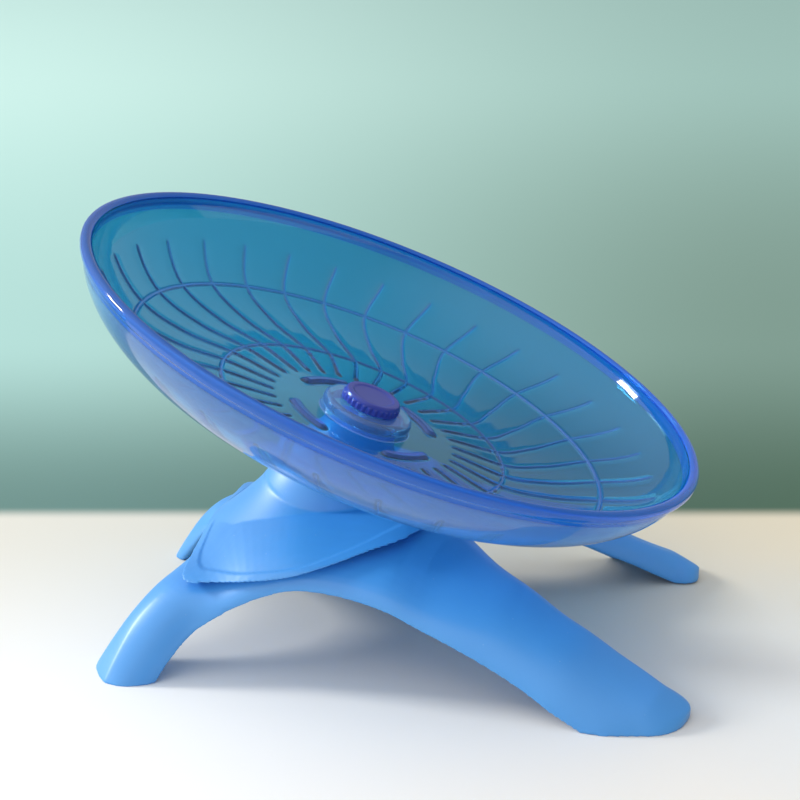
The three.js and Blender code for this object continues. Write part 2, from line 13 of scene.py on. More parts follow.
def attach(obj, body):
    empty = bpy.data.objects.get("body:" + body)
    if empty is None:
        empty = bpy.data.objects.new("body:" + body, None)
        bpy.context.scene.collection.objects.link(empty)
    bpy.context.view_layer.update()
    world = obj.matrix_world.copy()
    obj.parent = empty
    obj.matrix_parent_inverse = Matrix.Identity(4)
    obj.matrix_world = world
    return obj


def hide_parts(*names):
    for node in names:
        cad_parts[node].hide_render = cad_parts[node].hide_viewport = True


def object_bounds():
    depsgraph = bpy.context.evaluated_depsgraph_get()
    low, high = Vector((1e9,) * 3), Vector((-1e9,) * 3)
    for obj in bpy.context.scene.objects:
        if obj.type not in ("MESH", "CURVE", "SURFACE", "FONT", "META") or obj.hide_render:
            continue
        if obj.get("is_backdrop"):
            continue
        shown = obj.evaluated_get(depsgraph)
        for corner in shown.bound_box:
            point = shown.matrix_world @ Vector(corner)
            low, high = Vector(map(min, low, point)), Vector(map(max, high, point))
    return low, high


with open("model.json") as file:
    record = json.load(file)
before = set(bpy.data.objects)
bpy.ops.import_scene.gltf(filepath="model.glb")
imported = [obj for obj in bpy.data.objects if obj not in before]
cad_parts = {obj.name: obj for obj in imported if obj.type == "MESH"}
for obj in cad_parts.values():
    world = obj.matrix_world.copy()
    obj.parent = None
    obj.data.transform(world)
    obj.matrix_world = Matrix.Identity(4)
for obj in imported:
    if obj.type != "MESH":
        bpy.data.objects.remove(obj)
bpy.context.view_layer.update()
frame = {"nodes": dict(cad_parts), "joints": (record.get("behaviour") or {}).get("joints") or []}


# Camera: it looks down a little from the front, turned towards the dish's low side.
# The lens is a short telephoto one, as the dish's outlines in the photograph show.
camera_data = bpy.data.cameras.new("camera")
camera_data.lens = 90
camera_data.sensor_width = 36
camera_data.clip_start = 0.01
camera = bpy.data.objects.new("camera", camera_data)
camera.location = (0.08665, -0.5191, 0.2318)
camera.rotation_mode = "QUATERNION"
camera.rotation_quaternion = Vector((-0.1563, 0.9413, -0.2992)).to_track_quat("-Z", "Y")
bpy.context.scene.collection.objects.link(camera)
bpy.context.scene.camera = camera
bpy.context.scene.view_settings.view_transform = "Standard"


# Table and light: a wide pale table top that turns grey-green behind the wheel, a soft
# window on the left, and a pale room that is brightest high up on the left in front.
def linear(red, green, blue):
    """Turns a colour as it is seen on a screen, from 0 to 255, into light."""
    return tuple(((c / 255 + 0.055) / 1.055) ** 2.4 for c in (red, green, blue)) + (1,)


table_mesh = bpy.data.meshes.new("table")
table_half = 6
table_corners = [(x * table_half, y * table_half, 0) for x, y in ((-1, -1), (1, -1), (1, 1), (-1, 1))]
table_mesh.from_pydata(table_corners, [], [(0, 1, 2, 3)])
table = bpy.data.objects.new("table", table_mesh)
bpy.context.scene.collection.objects.link(table)
table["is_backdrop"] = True
table_paint = bpy.data.materials.new("table_paint")
table_paint.use_nodes = True
nodes, links = table_paint.node_tree.nodes, table_paint.node_tree.links
shader = nodes["Principled BSDF"]
shader.inputs["Roughness"].default_value = 0.6
shader.inputs["Specular IOR Level"].default_value = 0.2
place = nodes.new("ShaderNodeTexCoord")


def table_tone(value, low, high, near_colour, far_colour):
    """A soft change from one colour to another, as the value goes from low to high."""
    spread = nodes.new("ShaderNodeMapRange")
    spread.interpolation_type = "SMOOTHSTEP"
    spread.inputs["From Min"].default_value = low
    spread.inputs["From Max"].default_value = high
    links.new(value, spread.inputs["Value"])
    tone = nodes.new("ShaderNodeMix")
    tone.data_type = "RGBA"
    for socket, colour in ((tone.inputs[6], near_colour), (tone.inputs[7], far_colour)):
        if isinstance(colour, tuple):
            socket.default_value = colour
        else:
            links.new(colour, socket)
    links.new(spread.outputs["Result"], tone.inputs[0])
    return tone.outputs[2]


def table_sum(x_weight, y_weight, offset):
    """A measure along the table: the weights say how much of x and y go into it."""
    weigh = nodes.new("ShaderNodeVectorMath")
    weigh.operation = "DOT_PRODUCT"
    weigh.inputs[1].default_value = (x_weight, y_weight, 0)
    links.new(place.outputs["Object"], weigh.inputs[0])
    total = nodes.new("ShaderNodeMath")
    total.inputs[1].default_value = offset
    links.new(weigh.outputs["Value"], total.inputs[0])
    return total.outputs["Value"]


# The tones fan out from under the camera, because the far end is wider in the view.
away_x, away_y = -0.1638, 0.9865
camera_behind = 0.5265
camera_aside = -0.0005
fan_half = 0.2
away = table_sum(away_x, away_y, 0)
fan = nodes.new("ShaderNodeMath")
fan.operation = "DIVIDE"
links.new(table_sum(away_y, -away_x, camera_aside), fan.inputs[0])
links.new(table_sum(away_x, away_y, camera_behind), fan.inputs[1])


# Painted light: the table and the wall behind it are painted lighter on the left and darker on the right.
# This stands in for the falloff of the window's light, which comes from the left.
def painted_window_falloff(left_colour, right_colour):
    return table_tone(fan.outputs["Value"], -fan_half, fan_half, left_colour, right_colour)


white_near = painted_window_falloff(linear(255, 254, 250), linear(240, 236, 228))
white_far = painted_window_falloff(linear(226, 224, 212), linear(222, 213, 190))
green_near = painted_window_falloff(linear(102, 138, 131), linear(74, 104, 86))
green_middle = painted_window_falloff(linear(168, 209, 203), linear(120, 150, 138))
green_far = painted_window_falloff(linear(192, 228, 221), linear(155, 192, 183))
white = table_tone(away, -0.08, 0.09, white_near, white_far)
green = table_tone(away, 0.085, 0.3, green_near, green_middle)
green = table_tone(away, 0.3, 1.1, green, green_far)
links.new(table_tone(away, 0.083, 0.095, white, green), shader.inputs["Base Color"])
table_mesh.materials.append(table_paint)

world = bpy.data.worlds.new("room")
world.use_nodes = True
nodes, links = world.node_tree.nodes, world.node_tree.links
room = nodes["Background"]
room.inputs["Color"].default_value = (0.99, 0.99, 1.0, 1)
way = nodes.new("ShaderNodeTexCoord")
towards = nodes.new("ShaderNodeVectorMath")
towards.operation = "DOT_PRODUCT"
towards.inputs[1].default_value = (-0.62, -0.35, 0.7)
links.new(way.outputs["Generated"], towards.inputs[0])
bright = nodes.new("ShaderNodeMapRange")
bright.interpolation_type = "SMOOTHSTEP"
bright.inputs["From Min"].default_value = 0.1
bright.inputs["To Min"].default_value = 0.43
bright.inputs["To Max"].default_value = 1.3
links.new(towards.outputs["Value"], bright.inputs["Value"])
links.new(bright.outputs["Result"], room.inputs["Strength"])
bpy.context.scene.world = world


window = bpy.data.lights.new("window", "AREA")
window.size = 0.45
window.energy = 38
window.color = (1.0, 0.985, 0.945)
window_object = bpy.data.objects.new("window", window)
window_object.location = (-2.15, 0.25, 1.1)
wheel_middle = Vector((0, 0, 0.05))
glance = wheel_middle - window_object.location
window_object.rotation_euler = glance.to_track_quat("-Z", "Y").to_euler()
bpy.context.scene.collection.objects.link(window_object)


# Leg frame: one hollow moulding in opaque blue plastic, open below, which humps up at the
# waist and runs out into four splayed legs with rounded toes. Thin plates stiffen the legs,
# and four bosses take the screws that hold the cover.
MM = 0.001
spin = frame["joints"][0]
axis_x = spin["pos_m"][0] / MM
rim_height = spin["pos_m"][2] / MM
tilt = math.atan2(spin["axis"][0], spin["axis"][2])

waist_x = -17.6
left_reach = 60
right_reach = 103
half_track = 62.3
deck_height = 38
frame_wall = 2.2
nose_length = 8.9
nose_turn = math.radians(18)
nose_drop = 4.9
nose_power = 2.6
arch_power = 2.2
plate = 1.6
plate_shares = (0.12, 0.2, 0.78, 0.86, 0.94)
screw_circle = 14
screw_shank = 1.5
screw_head = 2.8
screw_room = 0.25
boss_wall = 1.9
boss_hang = 6
head_floor_wall = 3
overrun = 6
axis_foot_x = -(rim_height - deck_height) * math.tan(tilt)

# Each row has the outer edge, the ridge and the inner edge of a leg, as shares of the
# reach, the half track and the deck's height.
station_shares = [
    [(-0.839, -1.016, -0.567), (-0.948, -0.911, -0.227), (-1.098, -0.713, -0.511)],
    [(-0.78, -0.945, -0.393), (-0.915, -0.865, -0.095), (-1.066, -0.665, -0.34)],
    [(-0.717, -0.858, -0.198), (-0.862, -0.792, 0.121), (-1.004, -0.616, -0.155)],
    [(-0.63, -0.772, 0.085), (-0.767, -0.685, 0.41), (-0.881, -0.54, 0.113)],
    [(-0.514, -0.701, 0.316), (-0.651, -0.604, 0.59), (-0.775, -0.431, 0.342)],
    [(-0.381, -0.694, 0.471), (-0.531, -0.455, 0.672), (-0.659, -0.223, 0.528)],
    [(-0.247, -0.687, 0.584), (-0.385, -0.181, 0.868), (-0.56, 0.048, 0.606)],
    [(-0.077, -0.679, 0.671), (-0.166, 0, 0.987), (-0.333, 0.134, 0.62)],
    [(0.062, -0.689, 0.672), (0.058, 0, 1), (0.033, 0.113, 0.644)],
    [(0.208, -0.74, 0.609), (0.238, 0, 0.988), (0.222, 0.085, 0.721)],
    [(0.295, -0.768, 0.515), (0.334, -0.166, 0.871), (0.342, -0.001, 0.699)],
    [(0.384, -0.807, 0.43), (0.451, -0.415, 0.764), (0.473, -0.242, 0.582)],
    [(0.475, -0.847, 0.331), (0.547, -0.522, 0.692), (0.582, -0.409, 0.487)],
    [(0.568, -0.895, 0.215), (0.637, -0.592, 0.577), (0.668, -0.504, 0.374)],
    [(0.646, -0.94, 0.097), (0.723, -0.628, 0.478), (0.736, -0.557, 0.275)],
    [(0.719, -0.97, -0.002), (0.806, -0.663, 0.36), (0.802, -0.605, 0.179)],
    [(0.784, -0.99, -0.094), (0.873, -0.7, 0.272), (0.858, -0.635, 0.096)],
    [(0.858, -0.972, -0.092), (0.924, -0.747, 0.202), (0.921, -0.661, 0.011)],
]


def along(points, share):
    """A point on the smooth curve through the points, at a share of its length."""
    points = [np.asarray(p, float) for p in points]
    spot = share * (len(points) - 1)
    i = min(int(spot), len(points) - 2)
    w = spot - i
    b, c = points[i], points[i + 1]
    a = points[i - 1] if i > 0 else 2 * b - c
    d = points[i + 2] if i + 2 < len(points) else 2 * c - b
    ab, bc, cd = (np.sqrt(np.linalg.norm(q - p)) for p, q in ((a, b), (b, c), (c, d)))
    start = bc * ((b - a) / ab - (c - a) / (ab + bc) + (c - b) / bc)
    end = bc * ((c - b) / bc - (d - b) / (bc + cd) + (d - c) / cd)
    return b + start * w + (3 * (c - b) - 2 * start - end) * w**2 + (2 * (b - c) + start + end) * w**3


guides = [
    [(waist_x + row[edge][0] * (left_reach if row[edge][0] < 0 else right_reach),
      row[edge][1] * half_track, row[edge][2] * deck_height) for row in station_shares]
    for edge in range(3)
]


def arch_section(outer, ridge, inner, grow, drop, side):
    """A section across a leg: an arch over its two edges, which stands out by grow."""
    across = (inner - outer) * (1, 1, 0)
    across *= grow / np.linalg.norm(across)
    left, right, crown = outer - across, inner + across, ridge + (0, 0, grow)
    steps = 13
    points = []
    for i in range(2 * steps + 1):
        angle = math.pi * i / (2 * steps)
        foot = left if i <= steps else right
        out = abs(math.cos(angle)) ** (2 / arch_power)
        up = max(math.sin(angle), 0) ** (2 / arch_power)
        flat = crown + (foot - crown) * out
        points.append((flat[0], flat[1], foot[2] + (crown[2] - foot[2]) * up))
    if drop:
        points.insert(0, tuple(left - (0, 0, drop)))
        points.append(tuple(right - (0, 0, drop)))
    return np.array(points) * (1, side, 1)


def half_frame(grow, drop, side):
    """The legs on one side, from the left foot over the waist to the right toe."""
    steps, toe_steps = 84, 12
    sections = []
    for i in range(steps + 1):
        outer, ridge, inner = (along(guide, i / steps) for guide in guides)
        sections.append(arch_section(outer, ridge, inner, grow, drop, side))
    chord = (inner - outer) * (1, 1, 0)
    middle = (outer + inner) / 2
    ahead = np.array(Matrix.Rotation(nose_turn, 3, "Z") @ Vector((chord[1], -chord[0], 0)).normalized())
    for i in range(1, toe_steps + 1):
        reach = math.sin(0.95 * (math.pi / 2) * i / toe_steps)
        width = (1 - reach**nose_power) ** (1 / nose_power)
        push = ahead * (nose_length + grow) * reach

        def narrow(p):
            near = middle + (p - middle) * width
            return np.array((near[0], near[1], p[2])) + push

        crown = narrow(ridge) - (0, 0, nose_drop * reach)
        sections.append(arch_section(narrow(outer), crown, narrow(inner), grow * width, drop, side))
    return closed_solid(sections)


def closed_solid(sections, ends=True, place=Matrix.Identity(4)):
    """Joins sections with equal numbers of points into a closed mesh object."""
    rows, count = len(sections), len(sections[0])
    mesh = bpy.data.meshes.new("solid")
    points = np.concatenate(sections) * MM
    faces = []
    for s in range(rows if not ends else rows - 1):
        for i in range(count):
            a, b = s * count + i, s * count + (i + 1) % count
            c, d = (b + count) % (rows * count), (a + count) % (rows * count)
            faces.append((a, b, c, d))
    if ends:
        faces.append(tuple(range(count))[::-1])
        faces.append(tuple(range((rows - 1) * count, rows * count)))
    mesh.from_pydata(points.tolist(), [], faces)
    move = place.copy()
    move.translation *= MM
    mesh.transform(move)
    form = bmesh.new()
    form.from_mesh(mesh)
    bmesh.ops.remove_doubles(form, verts=form.verts, dist=5e-7)
    bmesh.ops.recalc_face_normals(form, faces=form.faces)
    form.to_mesh(mesh)
    form.free()
    solid = bpy.data.objects.new("solid", mesh)
    bpy.context.scene.collection.objects.link(solid)
    return solid


def combine(body, tool, operation):
    """Joins the tool to the body, or cuts the body with it, and clears the tool away."""
    change = body.modifiers.new("change", "BOOLEAN")
    change.solver = "MANIFOLD"
    change.operation = operation
    change.object = tool
    bake_modifiers(body)
    bpy.data.objects.remove(tool)
    return body


def bake_modifiers(body):
    """Makes what the modifiers show the object's own mesh."""
    result = bpy.data.meshes.new_from_object(body.evaluated_get(bpy.context.evaluated_depsgraph_get()))
    body.modifiers.clear()
    body.data = result


def cylinder(radius, low, high, x=0, y=0, facets=64):
    angles = np.arange(facets) * 2 * math.pi / facets
    circle = np.stack([x + radius * np.cos(angles), y + radius * np.sin(angles)], 1)
    return closed_solid([np.column_stack([circle, np.full(facets, z)]) for z in (low, high)])


def slab(size, centre, turn=0):
    """A plain block, used for the stiffening plates and as a cutter."""
    half = np.array(size) / 2
    corners = np.array([(-1, -1), (1, -1), (1, 1), (-1, 1)]) * half[:2]
    block = [np.column_stack([corners, np.full(4, z)]) for z in (-half[2], half[2])]
    place = Matrix.Translation(Vector(centre)) @ Matrix.Rotation(turn, 4, "Z")
    return closed_solid(block, place=place)


def frame_form(grow, drop):
    return combine(half_frame(grow, drop, 1), half_frame(grow, drop, -1), "UNION")


def soften(body, voxel, rounds):
    """Rounds every edge as a mould does, with a fine even mesh."""
    remesh = body.modifiers.new("even", "REMESH")
    remesh.mode = "VOXEL"
    remesh.voxel_size = voxel * MM
    smooth = body.modifiers.new("smooth", "SMOOTH")
    smooth.factor = 0.5
    smooth.iterations = rounds
    bake_modifiers(body)
    for face in body.data.polygons:
        face.use_smooth = True


def ship(body, name, rides, slot, finish, *nodes):
    """Names a finished piece, gives it its finish, and lets it ride in place of its nodes."""
    body.name = body.data.name = name
    body.data.materials.clear()
    body.data.materials.append(finish)
    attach(body, rides)
    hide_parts(*nodes)


screw_places = [
    (axis_foot_x + screw_circle * math.cos(a), screw_circle * math.sin(a))
    for a in (math.radians(45 + 90 * i) for i in range(4))
]
boss_low = deck_height - frame_wall - boss_hang
boss_radius = screw_head + screw_room + boss_wall
screw_seat = boss_low + head_floor_wall

inside = slab((plate, half_track, deck_height), (axis_foot_x, 0, deck_height))
for x, y in screw_places:
    combine(inside, cylinder(boss_radius, boss_low, deck_height + overrun, x, y), "UNION")
for share in plate_shares:
    outer, ridge, inner = (along(guide, share) for guide in guides)
    chord = inner - outer
    middle = (inner + outer) / 2
    lean = math.atan2(chord[1], chord[0]) - math.pi / 2
    size = (plate, math.hypot(chord[0], chord[1]), ridge[2] - middle[2])
    for side in (1, -1):
        combine(inside, slab(size, (middle[0], side * middle[1], ridge[2]), side * lean), "UNION")
combine(inside, frame_form(-frame_wall / 2, 0), "INTERSECT")
legs = combine(frame_form(0, 0), frame_form(-frame_wall, overrun), "DIFFERENCE")
combine(legs, inside, "UNION")
for x, y in screw_places:
    combine(legs, cylinder(screw_shank + screw_room, 0, deck_height + overrun, x, y), "DIFFERENCE")
    combine(legs, cylinder(screw_head + screw_room, 0, screw_seat, x, y), "DIFFERENCE")
below_table = 24
combine(legs, slab((400, 400, below_table), (0, 0, -below_table / 2)), "DIFFERENCE")
legs.data.transform(Matrix.Translation((axis_x * MM, 0, 0)))
soften(legs, 0.4, 12)


def moulded_surface():
    """Shader group: the fine grain, slow mottle and settled dust of moulded plastic."""
    group = bpy.data.node_groups.new("moulded_surface", "ShaderNodeTree")
    sockets = group.interface
    for name, value in (("Grain Size", 900.0), ("Mottle Size", 28.0)):
        sockets.new_socket(name, in_out="INPUT", socket_type="NodeSocketFloat").default_value = value
    for name in ("Height", "Mottle", "Dust"):
        sockets.new_socket(name, in_out="OUTPUT", socket_type="NodeSocketFloat")
    nodes, links = group.nodes, group.links
    entry, leave = nodes.new("NodeGroupInput"), nodes.new("NodeGroupOutput")
    place = nodes.new("ShaderNodeTexCoord")
    grain = nodes.new("ShaderNodeTexNoise")
    grain.inputs["Detail"].default_value = 2
    links.new(place.outputs["Object"], grain.inputs["Vector"])
    links.new(entry.outputs["Grain Size"], grain.inputs["Scale"])
    links.new(grain.outputs["Fac"], leave.inputs["Height"])
    mottle = nodes.new("ShaderNodeTexNoise")
    mottle.inputs["Detail"].default_value = 4
    mottle.inputs["Roughness"].default_value = 0.55
    links.new(place.outputs["Object"], mottle.inputs["Vector"])
    links.new(entry.outputs["Mottle Size"], mottle.inputs["Scale"])
    links.new(mottle.outputs["Fac"], leave.inputs["Mottle"])
    specks = nodes.new("ShaderNodeTexVoronoi")
    specks.inputs["Scale"].default_value = 260
    links.new(place.outputs["Object"], specks.inputs["Vector"])
    small = nodes.new("ShaderNodeMapRange")
    small.inputs["From Min"].default_value = 0.05
    small.inputs["From Max"].default_value = 0.02
    links.new(specks.outputs["Distance"], small.inputs["Value"])
    facing = nodes.new("ShaderNodeNewGeometry")
    upward = nodes.new("ShaderNodeSeparateXYZ")
    links.new(facing.outputs["Normal"], upward.inputs["Vector"])
    lying = nodes.new("ShaderNodeMath")
    lying.operation = "MULTIPLY"
    lying.use_clamp = True
    links.new(small.outputs["Result"], lying.inputs[0])
    links.new(upward.outputs["Z"], lying.inputs[1])
    links.new(lying.outputs["Value"], leave.inputs["Dust"])
    return group


surface_group = moulded_surface()


def opaque_plastic(name, light, deep, roughness, grain_depth):
    """Moulded plastic: two close tones, a fine grain and a few specks of dust."""
    material = bpy.data.materials.new(name)
    material.use_nodes = True
    nodes, links = material.node_tree.nodes, material.node_tree.links
    shader = nodes["Principled BSDF"]
    shader.inputs["IOR"].default_value = 1.5
    shader.inputs["Specular IOR Level"].default_value = 0.85
    surface = nodes.new("ShaderNodeGroup")
    surface.node_tree = surface_group
    tone = nodes.new("ShaderNodeMix")
    tone.data_type = "RGBA"
    tone.inputs[6].default_value = deep
    tone.inputs[7].default_value = light
    links.new(surface.outputs["Mottle"], tone.inputs[0])
    dusty = nodes.new("ShaderNodeMix")
    dusty.data_type = "RGBA"
    dusty.inputs[7].default_value = linear(205, 222, 240)
    thin = nodes.new("ShaderNodeMath")
    thin.operation = "MULTIPLY"
    thin.inputs[1].default_value = 0.35
    links.new(surface.outputs["Dust"], thin.inputs[0])
    links.new(thin.outputs["Value"], dusty.inputs[0])
    links.new(tone.outputs[2], dusty.inputs[6])
    links.new(dusty.outputs[2], shader.inputs["Base Color"])
    gloss = nodes.new("ShaderNodeMapRange")
    gloss.inputs["To Min"].default_value = roughness - 0.05
    gloss.inputs["To Max"].default_value = roughness + 0.05
    links.new(surface.outputs["Mottle"], gloss.inputs["Value"])
    links.new(gloss.outputs["Result"], shader.inputs["Roughness"])
    bump = nodes.new("ShaderNodeBump")
    bump.inputs["Strength"].default_value = 0.3
    bump.inputs["Distance"].default_value = grain_depth * MM
    links.new(surface.outputs["Height"], bump.inputs["Height"])
    links.new(bump.outputs["Normal"], shader.inputs["Normal"])
    return material


base_plastic = opaque_plastic("base_plastic", linear(72, 158, 228), linear(58, 144, 220), 0.42, 0.02)
ship(legs, "leg_moulding", "base", "base_plastic", base_plastic, "leg_frame")


# Cover and column: one moulding in the same blue plastic, which lies over the frame's
# waist with a rolled lip, slopes up in a skirt and narrows to the leaning column.
# Four bosses inside take the screws from below.
seat_gap = 0.3
cover_wall = 2.3
column_top = 10
column_base = 19.4
column_root = 14
dish_depth = 25.4
hub_height = 4.2
bearing_sink = 3.3
seat_step = 0.6
bearing_seat = 3.15
axle_bore = 2
bore_top = 7.6
bore_foot = 17
column_crown = 13.5
skirt_shift = 3.5
skirt_top, skirt_top_rise = 15.6, 5.8
skirt_bend, skirt_bend_rise = 16.3, 3.5
skirt_foot, skirt_foot_drop = 33.9, 10.3
lip_wide = 2.2
lip_proud = 0.5
hub_top = hub_height - dish_depth
bearing_low = hub_top - bearing_sink
seat_top = bearing_low - seat_gap
shoulder = seat_top - seat_step
column_low = -(rim_height - deck_height) / math.cos(tilt)
column_length = shoulder - column_low
head_place = Matrix.Translation((axis_x, 0, rim_height)) @ Matrix.Rotation(tilt, 4, "Y")
cover_place = Matrix.Translation((axis_x, 0, 0))
cover_outline_shares = [
    (-0.600, 1.600), (-0.600, 0.760), (-0.586, 0.694), (-0.545, 0.668), (-0.475, 0.674),
    (-0.372, 0.695), (-0.268, 0.729), (-0.083, 0.787), (0.060, 0.874), (0.166, 0.955),
    (0.258, 0.992), (0.317, 1.008), (0.375, 1.039), (0.375, 1.600),
]


def curve_points(corners, steps):
    """Points on the curve that starts and ends at the first and last corner."""
    out = []
    for i in range(steps + 1):
        row = [np.array(c, float) for c in corners]
        while len(row) > 1:
            row = [a + (b - a) * i / steps for a, b in zip(row, row[1:])]
        out.append(tuple(row[0]))
    return out


def turned(profile, facets, place, around=None):
    """Turns a closed profile of (radius, height) round the axis. Around may bend the radius."""
    sections = []
    for radius, height in profile:
        angles = np.arange(facets) * 2 * math.pi / facets
        reach = np.full(facets, max(radius, 1e-4))
        if around is not None:
            reach = around(radius, height, angles)
        circle = [reach * np.cos(angles), reach * np.sin(angles), np.full(facets, height)]
        sections.append(np.column_stack(circle))
    open_bore = min(r for r, _ in profile) > 0
    return closed_solid(sections, ends=not open_bore, place=place)


def skirt(wall):
    """The slope from the cover up to the column. With a wall, it is the hollow below the slope."""
    top, foot = deck_height + skirt_top_rise, deck_height - skirt_foot_drop
    low = 0 if wall else foot
    slope = curve_points([
        (skirt_top - wall, top - wall), (skirt_bend - wall, deck_height + skirt_bend_rise - wall),
        (skirt_foot - wall, foot - wall)], 24)[::-1]
    profile = [(0, low), (slope[0][0], low), *slope, (0, top - wall)]
    return turned(profile, 120, Matrix.Translation((axis_foot_x - skirt_shift + axis_x, 0, 0)))


def column_solid():
    """The leaning column with its flared foot and the seat for the bearing's inner ring."""
    flare = curve_points([
        (column_top, shoulder - 0.6), (column_top, shoulder - column_length * 0.42),
        (column_base - 2, shoulder - column_length * 0.5), (column_base, column_low)], 24)[::-1]
    profile = [(0, column_low - column_root), (column_base, column_low - column_root), *flare,
               (column_top, shoulder), (bearing_seat, shoulder), (bearing_seat, seat_top), (0, seat_top)]
    return turned(profile, 120, head_place)


def cover_part(grow, drop):
    """The leg frame's form, grown, where the cover lies."""
    part = frame_form(grow, drop)
    part.data.transform(Matrix.Translation((axis_x * MM, 0, 0)))
    return part


def smooth_outline(shares, steps):
    """The lower edge of the cover as seen from the side, drawn through its points."""
    edge = [(waist_x + x * (left_reach if x < 0 else right_reach), z * deck_height) for x, z in shares]
    low = edge[1:-1]
    curve = [tuple(along([(x, 0, z) for x, z in low], i / steps)) for i in range(steps + 1)]
    return [(edge[0][0], edge[0][1])] + [(p[0], p[2]) for p in curve] + [(edge[-1][0], edge[-1][1])]


cover = combine(combine(cover_part(seat_gap + cover_wall, 0), skirt(0), "UNION"), column_solid(), "UNION")
bore_low, bore_high = column_low - 20, shoulder - column_crown
hollow = turned([(0, bore_low), (bore_foot, bore_low), (bore_foot, column_low), (bore_top, bore_high),
                 (0, bore_high)], 96, head_place)
hollow = combine(combine(cover_part(seat_gap, overrun), skirt(cover_wall), "UNION"), hollow, "UNION")
shell_limit = cover.copy()
shell_limit.data = cover.data.copy()
bpy.context.scene.collection.objects.link(shell_limit)
combine(cover, hollow, "DIFFERENCE")
screw_length = 10
boss_top = screw_seat + screw_length + plate + seat_gap
boss_height = boss_top - deck_height + overrun
bosses = None
for i, (x, y) in enumerate(screw_places):
    post = cylinder(screw_shank + boss_wall, deck_height - overrun, boss_top, x + axis_x, y)
    bosses = combine(bosses, post, "UNION") if bosses else post
    turn = math.radians(45 + 90 * i)
    reach = column_base / 2
    rib_x = axis_foot_x + axis_x + reach * math.cos(turn)
    rib_centre = (rib_x, reach * math.sin(turn), boss_top - boss_height / 2)
    combine(bosses, slab((column_base, plate, boss_height), rib_centre, turn), "UNION")
combine(bosses, shell_limit, "INTERSECT")
combine(cover, bosses, "UNION")
for x, y in screw_places:
    combine(cover, cylinder(screw_shank + screw_room, 0, boss_top - plate, x + axis_x, y), "DIFFERENCE")
axle_low, axle_high = column_low - column_root, seat_top + overrun
axle_hole = turned(
    [(0, axle_low), (axle_bore, axle_low), (axle_bore, axle_high), (0, axle_high)], 64, head_place)
combine(cover, axle_hole, "DIFFERENCE")
combine(cover, cover_part(seat_gap, overrun), "DIFFERENCE")
outline = smooth_outline(cover_outline_shares, 90)


def outline_prism(shift):
    """The room over the cover's lower edge, moved up and to the right."""
    section = np.array([(x + shift, 0, z + shift) for x, z in outline])
    return closed_solid([section + (0, y, 0) for y in (-half_track, half_track)], place=cover_place)


combine(cover, outline_prism(0), "INTERSECT")
lip = combine(cover_part(seat_gap + cover_wall + lip_proud, 0), outline_prism(0), "INTERSECT")
combine(lip, outline_prism(lip_wide), "DIFFERENCE")
combine(lip, cover_part(seat_gap, overrun), "DIFFERENCE")
combine(cover, lip, "UNION")
soften(cover, 0.3, 10)
ship(cover, "cover_moulding", "base", "base_plastic", base_plastic, "top_cover")


# Cover screws: zinc-plated steel pan heads with a cross recess, driven from below.
# They sit in the pockets of the leg frame's bosses.
def rounded(corners, steps=5):
    """Rounds the corners of a profile. A corner is (radius, height) or (radius, height, rounding)."""
    out = []
    count = len(corners)
    for i, corner in enumerate(corners):
        here = np.array(corner[:2], float)
        if len(corner) == 2:
            out.append(tuple(here))
            continue
        before = np.array(corners[i - 1][:2], float) - here
        after = np.array(corners[(i + 1) % count][:2], float) - here
        reach = min(corner[2], np.linalg.norm(before) / 2, np.linalg.norm(after) / 2)
        first = here + before / np.linalg.norm(before) * reach
        last = here + after / np.linalg.norm(after) * reach
        out.extend(curve_points([first, here, last], steps))
    return out


def metal(name, colour, roughness, streak):
    """Machined or plated steel with fine turning marks."""
    material = bpy.data.materials.new(name)
    material.use_nodes = True
    nodes, links = material.node_tree.nodes, material.node_tree.links
    shader = nodes["Principled BSDF"]
    shader.inputs["Base Color"].default_value = colour
    shader.inputs["Metallic"].default_value = 1
    surface = nodes.new("ShaderNodeGroup")
    surface.node_tree = surface_group
    surface.inputs["Grain Size"].default_value = streak
    surface.inputs["Mottle Size"].default_value = 300
    gloss = nodes.new("ShaderNodeMapRange")
    gloss.inputs["To Min"].default_value = roughness - 0.08
    gloss.inputs["To Max"].default_value = roughness + 0.1
    links.new(surface.outputs["Mottle"], gloss.inputs["Value"])
    links.new(gloss.outputs["Result"], shader.inputs["Roughness"])
    bump = nodes.new("ShaderNodeBump")
    bump.inputs["Strength"].default_value = 0.25
    bump.inputs["Distance"].default_value = 0.01 * MM
    links.new(surface.outputs["Height"], bump.inputs["Height"])
    links.new(bump.outputs["Normal"], shader.inputs["Normal"])
    return material


screw_steel = metal("zinc_plate", linear(196, 198, 204), 0.3, 2500)


def smooth_piece(body, sharp=40):
    """Smooth shading that keeps edges sharper than the angle."""
    for face in body.data.polygons:
        face.use_smooth = True
    body.data.set_sharp_from_angle(angle=math.radians(sharp))


def cross_recess(body, place, depth, width):
    for turn in (0, math.pi / 2):
        blade = slab((width, width / 4, 2 * depth), (0, 0, 0), turn)
        move = place.copy()
        move.translation *= MM
        blade.data.transform(move)
        combine(body, blade, "DIFFERENCE")


head_height = 2
screw_tip = 1.5
head_high = screw_seat - seat_gap
head_low = head_high - head_height
for i, (x, y) in enumerate(screw_places):
    place = Matrix.Translation((x + axis_x, y, 0))
    profile = rounded([
        (0, head_low), (screw_head, head_low, 1.2), (screw_head, head_high, 0.15), (screw_shank, head_high),
        (screw_shank, screw_seat + screw_length - screw_tip, 0.4), (0, screw_seat + screw_length)])
    screw = turned(profile, 48, place)
    cross_recess(screw, Matrix.Translation((x + axis_x, y, head_low)), 1.1, screw_head)
    smooth_piece(screw)
    ship(screw, f"cover_screw_turned_{i + 1}", "base", "screw_steel", screw_steel, f"cover_screw_{i + 1}")


